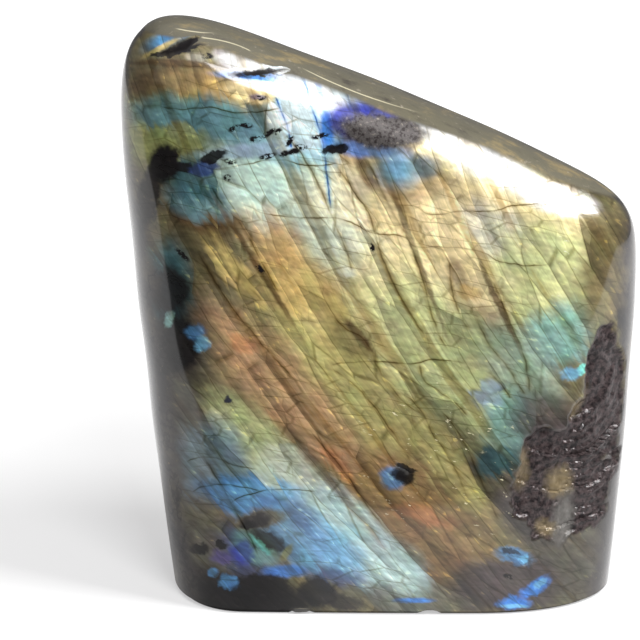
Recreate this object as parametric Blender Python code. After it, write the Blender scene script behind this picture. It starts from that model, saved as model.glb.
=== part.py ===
"""Polished labradorite freeform: one natural stone that stands on a flat-cut base.

Seen from the front (-Y) it is a tapering slab. Its left side rises to a rounded peak, its top falls in
a nearly straight line to a rounded shoulder on the right, and all its edges are polished round. A rough
hollow, where the stone broke in shell-like ledges, was left unpolished low on the right.
Metres, +Z up, origin at the bottom centre of the stone.
"""
import math

import bmesh
import bpy
import numpy as np
from mathutils import Vector
from mathutils.bvhtree import BVHTree

# Outline, seen from the front: where its four straight runs would meet, as (x, z)
BASE_LEFT = (-0.0418, 0.0)
BASE_RIGHT = (0.0473, 0.0)
PEAK = (-0.0530, 0.1215)
SHOULDER = (0.0511, 0.0800)
PEAK_SQUARENESS = 6.0          # superellipse exponents of the two upper corners
SHOULDER_SQUARENESS = 11.0
TOP_BOW = 0.0025               # how far the middle of each run bows out
LEFT_BOW = 0.0009
RIGHT_BOW = 0.0008

# Thickness, front to back
BASE_THICKNESS = 0.041
TOP_THICKNESS = 0.027
FACE_DOME = 0.0008             # extra swell at the middle of the front and back
LEFT_ROUNDING = 0.017          # how far each rounded edge reaches in from the outline
TOP_ROUNDING = 0.009
RIGHT_ROUNDING = 0.031
ROUNDING_EXPONENT = 2.3        # section of a rounded edge, as a superellipse
WAVINESS = 0.00010             # slow unevenness that hand polishing leaves
WAVE_LENGTH = 0.043
BASE_BEVEL = 0.0011
BASE_BEVEL_SEGMENTS = 2
SHARP_ANGLE = 35.0             # degrees between faces from which an edge is drawn sharp

# Lattice of the slab: faces across, deep and high
FACES_ACROSS = 34
FACES_DEEP = 12
FACES_HIGH = 40
# Places from -1 to 1, and how much closer and how far to each side the lattice is crowded there
CROWDS_ACROSS = ((0.80, 1.5, 0.24), (-1.0, 2.0, 0.20))
CROWDS_HIGH = ((-0.38, 1.7, 0.30), (1.0, 2.2, 0.15))
CROWD_SAMPLES = 401            # places at which the crowding is added up
TINY = 1e-6                    # keeps divisions and powers away from zero

# Rough hollow: overlapping ovals, as (x, z, half width, half height, tilt in degrees)
HOLLOW_OVALS = (
    (0.0446, 0.0430, 0.0042, 0.0150, 0.0),
    (0.0363, 0.0262, 0.0112, 0.0122, 20.0),
    (0.0413, 0.0360, 0.0052, 0.0085, -25.0),
)
HOLLOW_DEPTH = 0.0015
HOLLOW_EDGE = 0.16             # share of an oval over which its wall comes up
LEDGE_CENTRE = (0.0375, 0.0458)
LEDGE_SPACING = 0.0072
LEDGE_DEPTH = 0.0011

# Natural pits, as (x, z, length, width, turn in degrees)
PITS = (
    (-0.0385, 0.1120, 0.0078, 0.0018, 20.0),
    (-0.0238, 0.1073, 0.0112, 0.0011, 2.0),
    (-0.0091, 0.0931, 0.0052, 0.0018, 15.0),
    (0.0037, 0.0288, 0.0040, 0.0024, -35.0),
)
PIT_DEPTH = 0.0009

# Chips along the front edge of the base, as (x, width, height)
CHIPS = (
    (-0.0155, 0.0042, 0.0013),
    (0.0099, 0.0046, 0.0010),
)
CUTTER_SUBDIVISIONS = 2

STONE_COLOUR = (0.30, 0.29, 0.20, 1.0)
STONE_ROUGHNESS = 0.14


def clear_scene():
    for thing in list(bpy.data.objects):
        bpy.data.objects.remove(thing, do_unlink=True)


def stone_material():
    material = bpy.data.materials.new("labradorite")
    material.use_nodes = True
    shader = material.node_tree.nodes["Principled BSDF"]
    shader.inputs["Base Color"].default_value = STONE_COLOUR
    shader.inputs["Roughness"].default_value = STONE_ROUGHNESS
    shader.inputs["Metallic"].default_value = 0.0
    return material


def crowded(places, crowds):
    """Lattice places from -1 to 1, moved closer together round some of them."""
    ends = np.linspace(-1.0, 1.0, CROWD_SAMPLES)
    density = 1.0 + sum(gain * np.exp(-((ends - focus) / width) ** 2) for focus, gain, width in crowds)
    steps = np.concatenate(([0.0], np.cumsum((density[1:] + density[:-1]) / 2)))
    return np.interp((places + 1.0) / 2.0, steps / steps[-1], ends)


def lattice_box():
    """A box from -1 to 1, open underneath, with its sides cut into a lattice of faces."""
    box = bmesh.new()
    bmesh.ops.create_cube(box, size=2.0)
    under = [face for face in box.faces if face.normal.z < -0.5]
    bmesh.ops.delete(box, geom=under, context="FACES_ONLY")
    for axis, faces in enumerate((FACES_ACROSS, FACES_DEEP, FACES_HIGH)):
        along = [edge for edge in box.edges
                 if abs(edge.verts[0].co[axis] - edge.verts[1].co[axis]) > 1.0]
        bmesh.ops.subdivide_edges(box, edges=along, cuts=faces - 1, use_grid_fill=True)
    return box


def slab_points(across, deep, high):
    """Places on the stone for lattice places on the box, all from -1 to 1."""
    rise = np.maximum(high, 0.0)
    to_left = np.maximum(-across, TINY) ** 2
    to_right = np.maximum(across, TINY) ** 2
    to_top = rise ** 2
    total = to_left + to_right + to_top

    half_width = (BASE_RIGHT[0] - BASE_LEFT[0] + SHOULDER[0] - PEAK[0]) / 4.0
    half_height = (PEAK[1] + SHOULDER[1]) / 4.0
    reach = (half_width * (to_left + to_right) + half_height * to_top) / total
    rounding = (LEFT_ROUNDING * to_left + RIGHT_ROUNDING * to_right + TOP_ROUNDING * to_top) / total

    # Gauge of the outline: 1 on a superellipse that is square below and rounded at the top
    squareness = PEAK_SQUARENESS + (SHOULDER_SQUARENESS - PEAK_SQUARENESS) * (across + 1.0) / 2.0
    gauge = (np.abs(across) ** squareness + rise ** squareness) ** (1.0 / squareness)
    square = np.maximum(np.abs(across), rise)
    power = 2.0 / ROUNDING_EXPONENT

    # On the sides and the top, a point's place in depth gives its angle round the edge
    on_side = square > 1.0 - TINY
    angle = np.abs(deep) * math.pi / 4.0
    side_inset = rounding * (1.0 - np.cos(angle) ** power)
    edge_inset = rounding * (1.0 - math.cos(math.pi / 4.0) ** power)
    shrink = np.where(on_side, 1.0 - side_inset / reach, (1.0 - edge_inset / reach) * square)
    inset = (1.0 - shrink) * reach
    fill = np.clip(1.0 - inset / rounding, 0.0, 1.0)
    depth = (1.0 - fill ** ROUNDING_EXPONENT) ** (1.0 / ROUNDING_EXPONENT)

    place = shrink / np.maximum(gauge, TINY)
    x_share = (across * place + 1.0) / 2.0
    z_share = (np.where(high > 0.0, high * place, high) + 1.0) / 2.0

    base_x = BASE_LEFT[0] + (BASE_RIGHT[0] - BASE_LEFT[0]) * x_share
    top_x = PEAK[0] + (SHOULDER[0] - PEAK[0]) * x_share
    top_z = PEAK[1] + (SHOULDER[1] - PEAK[1]) * x_share
    x = base_x + (top_x - base_x) * z_share
    z = top_z * z_share
    x_bow, z_bow = 4.0 * x_share * (1.0 - x_share), 4.0 * z_share * (1.0 - z_share)
    x += (RIGHT_BOW * x_share - LEFT_BOW * (1.0 - x_share)) * z_bow
    z += TOP_BOW * x_bow * z_share ** 2

    half_thick = (BASE_THICKNESS + (TOP_THICKNESS - BASE_THICKNESS) * z_share) / 2.0
    dome = FACE_DOME * x_bow * (1.0 - z_share ** 4)
    y = np.sign(deep) * depth * (half_thick + dome)
    return np.column_stack((x, y, z))


def waviness(points):
    """Slow unevenness of the polished surface, along its normals, none at the base."""
    x, y, z = (points / WAVE_LENGTH * 2.0 * math.pi).T
    wave = np.sin(x + 0.7 * z + 1.1) * np.cos(0.8 * z - 0.5 * y) + 0.6 * np.sin(1.7 * z - 0.9 * x + y)
    return WAVINESS * wave * np.clip(points[:, 2] / WAVE_LENGTH, 0.0, 1.0)


def oval_share(x, z, oval):
    """1 at the middle of an oval, 0 on its rim."""
    centre_x, centre_z, half_width, half_height, tilt = oval
    turn = math.radians(tilt)
    along = (x - centre_x) * math.cos(turn) + (z - centre_z) * math.sin(turn)
    up = (z - centre_z) * math.cos(turn) - (x - centre_x) * math.sin(turn)
    return 1.0 - np.sqrt((along / half_width) ** 2 + (up / half_height) ** 2)


def hollow_depth(points):
    """How deep the rough hollow goes: a broken floor that steps down in curved ledges."""
    x, y, z = points.T
    inside = np.max([oval_share(x, z, oval) for oval in HOLLOW_OVALS], axis=0)
    wall = np.clip(inside / HOLLOW_EDGE, 0.0, 1.0)
    wall = wall * wall * (3.0 - 2.0 * wall)
    radius = np.hypot(x - LEDGE_CENTRE[0], z - LEDGE_CENTRE[1])
    ledge = (radius / LEDGE_SPACING) % 1.0
    return np.where(y < 0.0, wall * (HOLLOW_DEPTH + LEDGE_DEPTH * (ledge - 0.5)), 0.0)


def move_along_normals(mesh, heights):
    normals = np.empty(len(mesh.vertices) * 3, dtype=np.float32)
    places = np.empty(len(mesh.vertices) * 3, dtype=np.float32)
    mesh.vertex_normals.foreach_get("vector", normals)
    mesh.vertices.foreach_get("co", places)
    places = places.reshape(-1, 3) + normals.reshape(-1, 3) * heights[:, None]
    mesh.vertices.foreach_set("co", places.ravel())
    mesh.update()


def mesh_points(mesh):
    places = np.empty(len(mesh.vertices) * 3, dtype=np.float32)
    mesh.vertices.foreach_get("co", places)
    return places.reshape(-1, 3).astype(float)


def polished_slab():
    """The slab with its rounded edges and flat base, then its unevenness and the rough hollow."""
    box = lattice_box()
    lattice = np.array([vert.co for vert in box.verts])
    lattice[:, 0] = crowded(lattice[:, 0], CROWDS_ACROSS)
    lattice[:, 2] = crowded(lattice[:, 2], CROWDS_HIGH)
    for vert, place in zip(box.verts, slab_points(*lattice.T)):
        vert.co = place
    rim = [edge for edge in box.edges if edge.is_boundary]
    base = bmesh.ops.contextual_create(box, geom=rim)["faces"]
    rim = list(base[0].edges)
    bmesh.ops.bevel(box, geom=rim, offset=BASE_BEVEL, segments=BASE_BEVEL_SEGMENTS, affect="EDGES")
    bmesh.ops.recalc_face_normals(box, faces=box.faces)
    mesh = bpy.data.meshes.new("labradorite_stone")
    box.to_mesh(mesh)
    box.free()
    move_along_normals(mesh, waviness(mesh_points(mesh)))
    move_along_normals(mesh, -hollow_depth(mesh_points(mesh)))
    return mesh


def centre_on_base(mesh):
    """Moves the mesh so that the bottom centre of its box is the origin."""
    points = mesh_points(mesh)
    low, high = points.min(axis=0), points.max(axis=0)
    shift = np.array(((low[0] + high[0]) / 2.0, (low[1] + high[1]) / 2.0, low[2]))
    mesh.vertices.foreach_set("co", (points - shift).ravel())
    mesh.update()


def add_cutter(name, place, radii, turn, cutters):
    """A stretched ball that takes a pit or a chip out of the stone, turned about Y."""
    bpy.ops.mesh.primitive_ico_sphere_add(subdivisions=CUTTER_SUBDIVISIONS, radius=1.0)
    cutter = bpy.context.object
    cutter.name = name
    cutter.scale = radii
    cutter.location = place
    cutter.rotation_euler = (0.0, -math.radians(turn), 0.0)
    cutter.hide_render = True
    cutter.display_type = "WIRE"
    for holder in list(cutter.users_collection):
        holder.objects.unlink(cutter)
    cutters.objects.link(cutter)
    return cutter


def front_surface(tree, x, z):
    """Where a line along +Y at this x and z meets the front of the stone."""
    hit, _, _, _ = tree.ray_cast(Vector((x, -BASE_THICKNESS, z)), Vector((0.0, 1.0, 0.0)))
    return hit


def cut_with(stone, cutter):
    cut = stone.modifiers.new(cutter.name, "BOOLEAN")
    cut.operation = "DIFFERENCE"
    cut.solver = "EXACT"
    cut.object = cutter


def build():
    clear_scene()
    stone_parts = bpy.data.collections.new("labradorite_freeform")
    cutters = bpy.data.collections.new("cutters")
    bpy.context.scene.collection.children.link(stone_parts)
    bpy.context.scene.collection.children.link(cutters)

    mesh = polished_slab()
    centre_on_base(mesh)
    mesh.materials.append(stone_material())
    stone = bpy.data.objects.new("labradorite_stone", mesh)
    stone_parts.objects.link(stone)

    shape = bmesh.new()
    shape.from_mesh(mesh)
    tree = BVHTree.FromBMesh(shape)
    shape.free()
    for index, (x, z, length, width, turn) in enumerate(PITS):
        place = front_surface(tree, x, z)
        radii = (length / 2.0, PIT_DEPTH, width / 2.0)
        cut_with(stone, add_cutter(f"pit_cutter_{index}", place, radii, turn, cutters))
    for index, (x, width, height) in enumerate(CHIPS):
        place = front_surface(tree, x, height / 2.0)
        radii = (width / 2.0, height, height)
        cut_with(stone, add_cutter(f"chip_cutter_{index}", place, radii, 0.0, cutters))

    mesh.shade_smooth()
    mesh.set_sharp_from_angle(angle=math.radians(SHARP_ANGLE))


build()
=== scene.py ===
"""Looks of the polished labradorite freeform: its fine mesh, its flash of colour, and a plain set."""

import math
from collections import namedtuple

import bmesh
import bpy
import numpy as np
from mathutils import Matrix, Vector, noise
from mathutils.bvhtree import BVHTree


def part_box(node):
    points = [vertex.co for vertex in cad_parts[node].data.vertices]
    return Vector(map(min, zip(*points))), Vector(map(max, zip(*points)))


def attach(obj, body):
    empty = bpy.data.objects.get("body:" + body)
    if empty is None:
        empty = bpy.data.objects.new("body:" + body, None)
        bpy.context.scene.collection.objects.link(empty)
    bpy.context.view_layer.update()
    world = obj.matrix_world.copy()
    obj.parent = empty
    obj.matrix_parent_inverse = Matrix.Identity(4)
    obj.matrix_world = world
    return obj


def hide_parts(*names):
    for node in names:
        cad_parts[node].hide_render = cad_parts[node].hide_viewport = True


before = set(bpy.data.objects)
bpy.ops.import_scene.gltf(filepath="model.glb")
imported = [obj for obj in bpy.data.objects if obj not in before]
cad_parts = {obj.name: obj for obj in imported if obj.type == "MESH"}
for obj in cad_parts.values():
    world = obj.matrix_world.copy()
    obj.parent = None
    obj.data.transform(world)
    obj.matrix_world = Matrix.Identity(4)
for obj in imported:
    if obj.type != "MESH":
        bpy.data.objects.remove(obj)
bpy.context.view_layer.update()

# ---- sizes, in metres unless a comment says otherwise
NODE = "labradorite_stone"
MM = 0.001
TINY = 1e-6  # keeps divisions and powers away from zero

# Outline, thickness and rounding: the same stone as the solid that it replaces
BASE_LEFT = (-0.0418, 0.0)
BASE_RIGHT = (0.0473, 0.0)
PEAK = (-0.0530, 0.1215)
SHOULDER = (0.0511, 0.0800)
PEAK_SQUARENESS = 6.0  # superellipse exponents of the two upper corners
SHOULDER_SQUARENESS = 11.0
TOP_BOW = 0.0025  # how far the middle of each run bows out
LEFT_BOW = 0.0009
RIGHT_BOW = 0.0008
BASE_THICKNESS = 0.041
TOP_THICKNESS = 0.027
FACE_DOME = 0.0008  # extra swell at the middle of the front and back
LEFT_ROUNDING = 0.017  # how far each rounded edge reaches in from the outline
TOP_ROUNDING = 0.009
RIGHT_ROUNDING = 0.031
ROUNDING_EXPONENT = 2.3
WAVINESS = 0.00010
WAVE_LENGTH = 0.043
BASE_BEVEL = 0.0011
BASE_BEVEL_SEGMENTS = 3
SHARP_ANGLE = 55.0  # degrees between faces from which an edge is shaded sharp

# Lattice of the slab: its faces, and where it is crowded, as (place, gain, width)
FACES_ACROSS = 158
FACES_DEEP = 44
FACES_HIGH = 178
CROWDS_ACROSS = ((0.78, 1.9, 0.24), (-1.0, 1.0, 0.20))
CROWDS_HIGH = ((-0.38, 1.6, 0.36), (1.0, 1.0, 0.15))
CROWD_SAMPLES = 401  # places at which the crowding is added up
SEED_STEPS = (7.3, 3.1, 5.7)  # how far apart the patterns of two seeds are

# Rough hollow, as (x, z, half width, half height, tilt in degrees)
HOLLOW_OVALS = (
    (0.0446, 0.0430, 0.0042, 0.0150, 0.0),
    (0.0363, 0.0262, 0.0112, 0.0122, 20.0),
    (0.0413, 0.0360, 0.0052, 0.0085, -25.0),
)
HOLLOW_DEPTH = 0.0009
HOLLOW_EDGE = 0.16  # share of an oval over which its wall comes up
HOLLOW_RAGGED = ((0.005, 0.26), (0.0018, 0.13))  # unevenness of that edge, as (size, share)
HOLLOW_MARGIN = 0.5  # share of an oval beyond its rim that is worked out too
RIPPLES_FROM = 0.0385  # the ripples lie to the right of this x
RIPPLES_FADE = 0.003
RIPPLES_RAGGED = (0.006, 1.5)
LEDGE_CENTRE = (0.0375, 0.0458)
LEDGE_SPACING = 0.0072
LEDGE_DEPTH = 0.0007
LEDGE_BEND = (0.007, 0.0012)
RIPPLE_SPACING = 0.0016
RIPPLE_DEPTH = 0.00042
FLOOR_LUMPS = ((0.0060, 0.0006), (0.0022, 0.0004), (0.0009, 0.00024))  # as (size, height)
ROUGH_RIM = 0.03  # shares by which the rough colour reaches past the rim and fades
ROUGH_FADE = 0.08

# Natural pits, and chips along the base: (x, z, length, width, turn in degrees)
PITS = (
    (-0.0385, 0.1120, 0.0082, 0.0020, 20.0),
    (-0.0238, 0.1073, 0.0118, 0.0013, 2.0),
    (-0.0091, 0.0931, 0.0056, 0.0020, 15.0),
    (0.0037, 0.0288, 0.0040, 0.0026, -35.0),
)
PIT_DEPTH = 0.00025
CHIPS = (
    (-0.0155, 0.0, 0.0046, 0.0034, 0.0),
    (0.0099, 0.0, 0.0050, 0.0026, 0.0),
)
CHIP_DEPTH = 0.0006
PIT_MARGIN = 0.6
PIT_RAGGED = (0.0016, 0.25)
PIT_WALL = 0.6  # shares of an oval over which its wall comes up and its colour fades
PIT_FADE = 0.3

# Camera: where it stands, what it looks at, and the picture that it makes
CAMERA_DISTANCE = 0.50
CAMERA_ELEVATION = math.radians(16.0)
CAMERA_AZIMUTH = math.radians(-0.9)
CAMERA_TARGET = Vector((0.0, 0.0, 0.059))
SENSOR_WIDTH = 36.0  # mm
CLIP_START = 0.01
PICTURE = 640  # pixels across and down
PICTURE_FOCUS = 2500.0  # focal length in pixels
TARGET_PIXEL = (379.7, 299.5)  # where the target shows in the picture
FACE_BEFORE_TARGET = 0.018  # how far the front face lies before the target
EDGE_Y = -0.012  # depth given to a pixel that misses the stone
PIXEL_MM = (CAMERA_DISTANCE - FACE_BEFORE_TARGET) / PICTURE_FOCUS / MM


# ---- camera
def place_object(name, data):
    """An object with this data, in the scene."""
    thing = bpy.data.objects.new(name, data)
    bpy.context.scene.collection.objects.link(thing)
    return thing


def camera_axes():
    """The camera's directions forward, right and up."""
    forward = Vector((-math.sin(CAMERA_AZIMUTH) * math.cos(CAMERA_ELEVATION),
                      math.cos(CAMERA_AZIMUTH) * math.cos(CAMERA_ELEVATION),
                      -math.sin(CAMERA_ELEVATION)))
    right = forward.cross(Vector((0.0, 0.0, 1.0))).normalized()
    return forward, right, right.cross(forward)


def add_camera():
    """The camera, turned so that its target shows at the target pixel."""
    forward, right, up = camera_axes()
    position = CAMERA_TARGET - forward * CAMERA_DISTANCE
    pixel = CAMERA_DISTANCE / PICTURE_FOCUS
    aim = (CAMERA_TARGET - right * (TARGET_PIXEL[0] - PICTURE / 2) * pixel
           + up * (TARGET_PIXEL[1] - PICTURE / 2) * pixel)
    data = bpy.data.cameras.new("camera")
    data.sensor_width = SENSOR_WIDTH
    data.lens = SENSOR_WIDTH * PICTURE_FOCUS / PICTURE
    data.clip_start = CLIP_START
    camera = place_object("camera", data)
    camera.location = position
    camera.rotation_euler = (aim - position).to_track_quat("-Z", "Y").to_euler()
    bpy.context.scene.camera = camera


# ---- the stone's shape
def crowded(count, crowds):
    """Lattice places from -1 to 1, moved closer together round some of them."""
    ends = np.linspace(-1.0, 1.0, CROWD_SAMPLES)
    density = 1.0 + sum(gain * np.exp(-((ends - focus) / width) ** 2) for focus, gain, width in crowds)
    steps = np.concatenate(([0.0], np.cumsum((density[1:] + density[:-1]) / 2)))
    return np.interp(np.linspace(0.0, 1.0, count + 1), steps / steps[-1], ends)


def lattice_box():
    """Points and quads of a box from -1 to 1, open underneath, welded along its edges."""
    across = crowded(FACES_ACROSS, CROWDS_ACROSS)
    deep = np.linspace(-1.0, 1.0, FACES_DEEP + 1)
    high = crowded(FACES_HIGH, CROWDS_HIGH)
    sheets = []
    for first, second, order, side, flip in (
            (across, high, (0, 2, 1), -1.0, False), (across, high, (0, 2, 1), 1.0, True),
            (deep, high, (1, 2, 0), -1.0, True), (deep, high, (1, 2, 0), 1.0, False),
            (across, deep, (0, 1, 2), 1.0, False)):
        a, b = np.meshgrid(first, second, indexing="ij")
        points = np.empty((a.size, 3))
        points[:, order[0]], points[:, order[1]], points[:, order[2]] = a.ravel(), b.ravel(), side
        index = np.arange(a.size).reshape(a.shape)
        quads = np.stack((index[:-1, :-1], index[1:, :-1], index[1:, 1:], index[:-1, 1:]), axis=-1)
        quads = quads.reshape(-1, 4)
        sheets.append((points, quads[:, ::-1] if flip else quads))
    points = np.concatenate([sheet[0] for sheet in sheets])
    starts = np.cumsum([0] + [len(sheet[0]) for sheet in sheets[:-1]])
    quads = np.concatenate([sheet[1] + start for sheet, start in zip(sheets, starts)])
    unique, place = np.unique(points.round(9), axis=0, return_inverse=True)
    return unique, place.ravel()[quads]


def slab_points(across, deep, high):
    """Places on the stone for lattice places on the box, all from -1 to 1."""
    rise = np.maximum(high, 0.0)
    to_left = np.maximum(-across, TINY) ** 2
    to_right = np.maximum(across, TINY) ** 2
    to_top = rise ** 2
    total = to_left + to_right + to_top

    half_width = (BASE_RIGHT[0] - BASE_LEFT[0] + SHOULDER[0] - PEAK[0]) / 4.0
    half_height = (PEAK[1] + SHOULDER[1]) / 4.0
    reach = (half_width * (to_left + to_right) + half_height * to_top) / total
    rounding = (LEFT_ROUNDING * to_left + RIGHT_ROUNDING * to_right + TOP_ROUNDING * to_top) / total

    # Gauge of the outline: 1 on a superellipse that is square below and rounded at the top
    squareness = PEAK_SQUARENESS + (SHOULDER_SQUARENESS - PEAK_SQUARENESS) * (across + 1.0) / 2.0
    gauge = (np.abs(across) ** squareness + rise ** squareness) ** (1.0 / squareness)
    square = np.maximum(np.abs(across), rise)
    power = 2.0 / ROUNDING_EXPONENT

    # On the sides and the top, a point's place in depth gives its angle round the edge
    on_side = square > 1.0 - TINY
    angle = np.abs(deep) * math.pi / 4.0
    side_inset = rounding * (1.0 - np.cos(angle) ** power)
    edge_inset = rounding * (1.0 - math.cos(math.pi / 4.0) ** power)
    shrink = np.where(on_side, 1.0 - side_inset / reach, (1.0 - edge_inset / reach) * square)
    inset = (1.0 - shrink) * reach
    fill = np.clip(1.0 - inset / rounding, 0.0, 1.0)
    depth = (1.0 - fill ** ROUNDING_EXPONENT) ** (1.0 / ROUNDING_EXPONENT)

    place = shrink / np.maximum(gauge, TINY)
    x_share = (across * place + 1.0) / 2.0
    z_share = (np.where(high > 0.0, high * place, high) + 1.0) / 2.0

    base_x = BASE_LEFT[0] + (BASE_RIGHT[0] - BASE_LEFT[0]) * x_share
    top_x = PEAK[0] + (SHOULDER[0] - PEAK[0]) * x_share
    top_z = PEAK[1] + (SHOULDER[1] - PEAK[1]) * x_share
    x = base_x + (top_x - base_x) * z_share
    z = top_z * z_share
    x_bow, z_bow = 4.0 * x_share * (1.0 - x_share), 4.0 * z_share * (1.0 - z_share)
    x += (RIGHT_BOW * x_share - LEFT_BOW * (1.0 - x_share)) * z_bow
    z += TOP_BOW * x_bow * z_share ** 2

    half_thick = (BASE_THICKNESS + (TOP_THICKNESS - BASE_THICKNESS) * z_share) / 2.0
    dome = FACE_DOME * x_bow * (1.0 - z_share ** 4)
    y = np.sign(deep) * depth * (half_thick + dome)
    return np.column_stack((x, y, z))


def waviness(points):
    """Slow unevenness of the polished surface, along its normals, none at the base."""
    x, y, z = (points / WAVE_LENGTH * 2.0 * math.pi).T
    wave = np.sin(x + 0.7 * z + 1.1) * np.cos(0.8 * z - 0.5 * y) + 0.6 * np.sin(1.7 * z - 0.9 * x + y)
    return WAVINESS * wave * np.clip(points[:, 2] / WAVE_LENGTH, 0.0, 1.0)


def smooth(share):
    """A share from 0 to 1 with soft ends."""
    share = np.clip(share, 0.0, 1.0)
    return share * share * (3.0 - 2.0 * share)


def oval_share(x, z, oval):
    """1 at the middle of an oval, 0 on its rim."""
    centre_x, centre_z, half_width, half_height, tilt = oval
    turn = math.radians(tilt)
    along = (x - centre_x) * math.cos(turn) + (z - centre_z) * math.sin(turn)
    up = (z - centre_z) * math.cos(turn) - (x - centre_x) * math.sin(turn)
    return 1.0 - np.sqrt((along / half_width) ** 2 + (up / half_height) ** 2)


def lumps(points, size, seed):
    """Natural-looking unevenness from -1 to 1 with features of one size."""
    offset = Vector([seed * step for step in SEED_STEPS])
    return np.array([noise.noise(Vector(point) / size + offset) for point in points])


def hollow_relief(points):
    """Depth of the rough hollow at each point, and how much each point is inside it."""
    x, y, z = points.T
    inside = np.max([oval_share(x, z, oval) for oval in HOLLOW_OVALS], axis=0)
    near = np.flatnonzero((inside > -HOLLOW_MARGIN) & (y < 0.0))
    here = points[near]
    share = inside[near]
    for seed, (size, reach) in enumerate(HOLLOW_RAGGED, 1):
        share = share + reach * lumps(here, size, seed)
    radius = np.hypot(here[:, 0] - LEDGE_CENTRE[0], here[:, 2] - LEDGE_CENTRE[1])
    radius = radius + LEDGE_BEND[1] * lumps(here, LEDGE_BEND[0], 3)
    ledge = (radius / LEDGE_SPACING) % 1.0 - 0.5
    ripple = (radius / RIPPLE_SPACING) % 1.0 - 0.5
    ragged = RIPPLES_RAGGED[1] * lumps(here, RIPPLES_RAGGED[0], 4)
    rippled = smooth((here[:, 0] - RIPPLES_FROM) / RIPPLES_FADE + 0.5 + ragged)
    floor = HOLLOW_DEPTH + LEDGE_DEPTH * ledge + RIPPLE_DEPTH * ripple * rippled
    for seed, (size, height) in enumerate(FLOOR_LUMPS, 5):
        floor = floor + height * lumps(here, size, seed)
    depth = np.zeros(len(points))
    mask = np.zeros(len(points))
    depth[near] = smooth(share / HOLLOW_EDGE) * np.maximum(floor, 0.0)
    mask[near] = smooth((share + ROUGH_RIM) / ROUGH_FADE)
    return depth, mask


def pit_relief(points, pits, deepest):
    """Depth of pits or chips at each point, and how much each point is inside them."""
    x, y, z = points.T
    depth, mask = np.zeros((2, len(points)))
    for pit_x, pit_z, length, width, turn in pits:
        share = oval_share(x, z, (pit_x, pit_z, length / 2, width / 2, turn))
        near = np.flatnonzero((share > -PIT_MARGIN) & (y < 0.0))
        share = share[near] + PIT_RAGGED[1] * lumps(points[near], PIT_RAGGED[0], 9)
        depth[near] = np.maximum(depth[near], deepest * smooth(share / PIT_WALL))
        mask[near] = np.maximum(mask[near], smooth(share / PIT_FADE))
    return depth, mask


def vertex_values(source, name):
    """A value of three numbers for each vertex."""
    values = np.empty(len(source) * 3, dtype=np.float32)
    source.foreach_get(name, values)
    return values.reshape(-1, 3).astype(float)


def set_places(mesh, places):
    mesh.vertices.foreach_set("co", places.astype(np.float32).ravel())
    mesh.update()


def move_along_normals(mesh, heights):
    """Moves each vertex along its normal by its own height."""
    normals = vertex_values(mesh.vertex_normals, "vector")
    set_places(mesh, vertex_values(mesh.vertices, "co") + normals * heights[:, None])


def add_attribute(mesh, name, values):
    """Keeps one number for each vertex, for the material to read."""
    layer = mesh.attributes.new(name, "FLOAT", "POINT")
    layer.data.foreach_set("value", values.astype(np.float32))


def fit_to_node(mesh):
    """Stretches the mesh by a hair so that it fills the box of the solid that it replaces."""
    low, high = (np.array(corner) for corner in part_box(NODE))
    places = vertex_values(mesh.vertices, "co")
    own_low, own_high = places.min(axis=0), places.max(axis=0)
    set_places(mesh, low + (places - own_low) * (high - low) / (own_high - own_low))


def slab_mesh():
    """The polished slab with its flat base, before any relief."""
    lattice, quads = lattice_box()
    mesh = bpy.data.meshes.new("stone_skin")
    mesh.from_pydata(slab_points(*lattice.T).tolist(), [], quads.tolist())
    shape = bmesh.new()
    shape.from_mesh(mesh)
    rim = [edge for edge in shape.edges if edge.is_boundary]
    base = bmesh.ops.contextual_create(shape, geom=rim)["faces"]
    rim = list(base[0].edges)
    bmesh.ops.bevel(shape, geom=rim, offset=BASE_BEVEL, segments=BASE_BEVEL_SEGMENTS, affect="EDGES")
    bmesh.ops.recalc_face_normals(shape, faces=shape.faces)
    shape.to_mesh(mesh)
    shape.free()
    return mesh


def build_stone():
    """The stone: the slab with its unevenness, rough hollow, pits and chips."""
    mesh = slab_mesh()
    points = vertex_values(mesh.vertices, "co")
    move_along_normals(mesh, waviness(points))
    hollow, rough = hollow_relief(points)
    pits, pitted = pit_relief(points, PITS, PIT_DEPTH)
    chips, chipped = pit_relief(points, CHIPS, CHIP_DEPTH)
    move_along_normals(mesh, -hollow - np.maximum(pits, chips))
    for name, values in (("pitted", pitted), ("rough", rough), ("chipped", chipped)):
        add_attribute(mesh, name, values)
    fit_to_node(mesh)
    mesh.shade_smooth()
    mesh.set_sharp_from_angle(angle=math.radians(SHARP_ANGLE))
    return place_object("stone_skin", mesh)


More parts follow.
